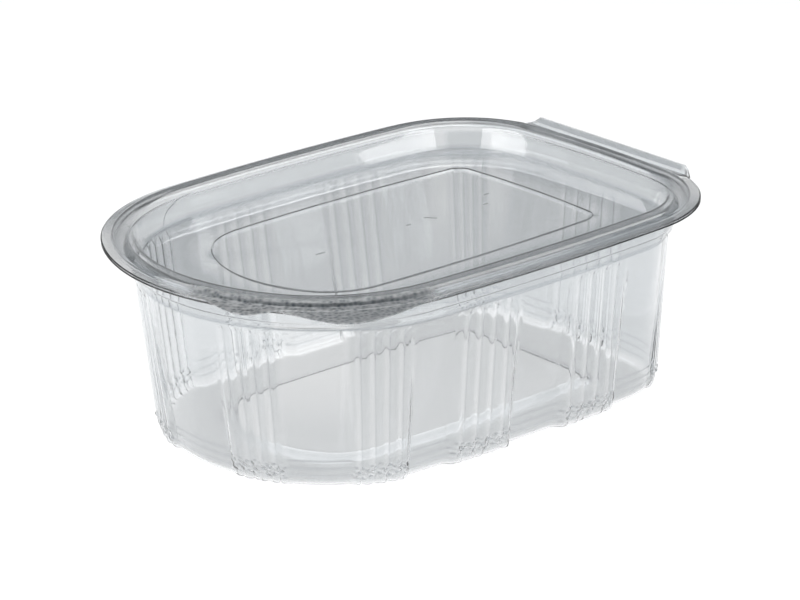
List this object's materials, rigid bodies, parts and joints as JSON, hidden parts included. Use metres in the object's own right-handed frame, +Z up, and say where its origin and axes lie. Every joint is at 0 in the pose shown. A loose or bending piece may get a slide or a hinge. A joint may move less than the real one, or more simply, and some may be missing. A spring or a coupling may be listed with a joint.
{
  "type": "hinged food container",
  "caption": "Clear oval food pot with fluted walls and a recessed snap lid on a living hinge, with grip tabs at one front corner.",
  "frame": {"origin": "centre of the footprint's box, on the surface that the foot stands on", "axes": "+X towards the hinge, +Z up; the grip tabs are at the -X, -Y corner"},
  "size_m": [0.141, 0.106, 0.0492],
  "materials": {
    "clear_sheet": "clear, smooth and glossy, with a fine stipple on the grip tabs"
  },
  "bodies": {
    "tub": {"tub": "clear_sheet"},
    "lid": {"lid": "clear_sheet"}
  },
  "joints": [
    {"name": "lid_hinge", "type": "hinge", "parent": "tub", "child": "lid", "pos_m": [0.06998, 0, 0.0493], "axis": [0, 1, 0], "range_deg": [0, 180]}
  ]
}
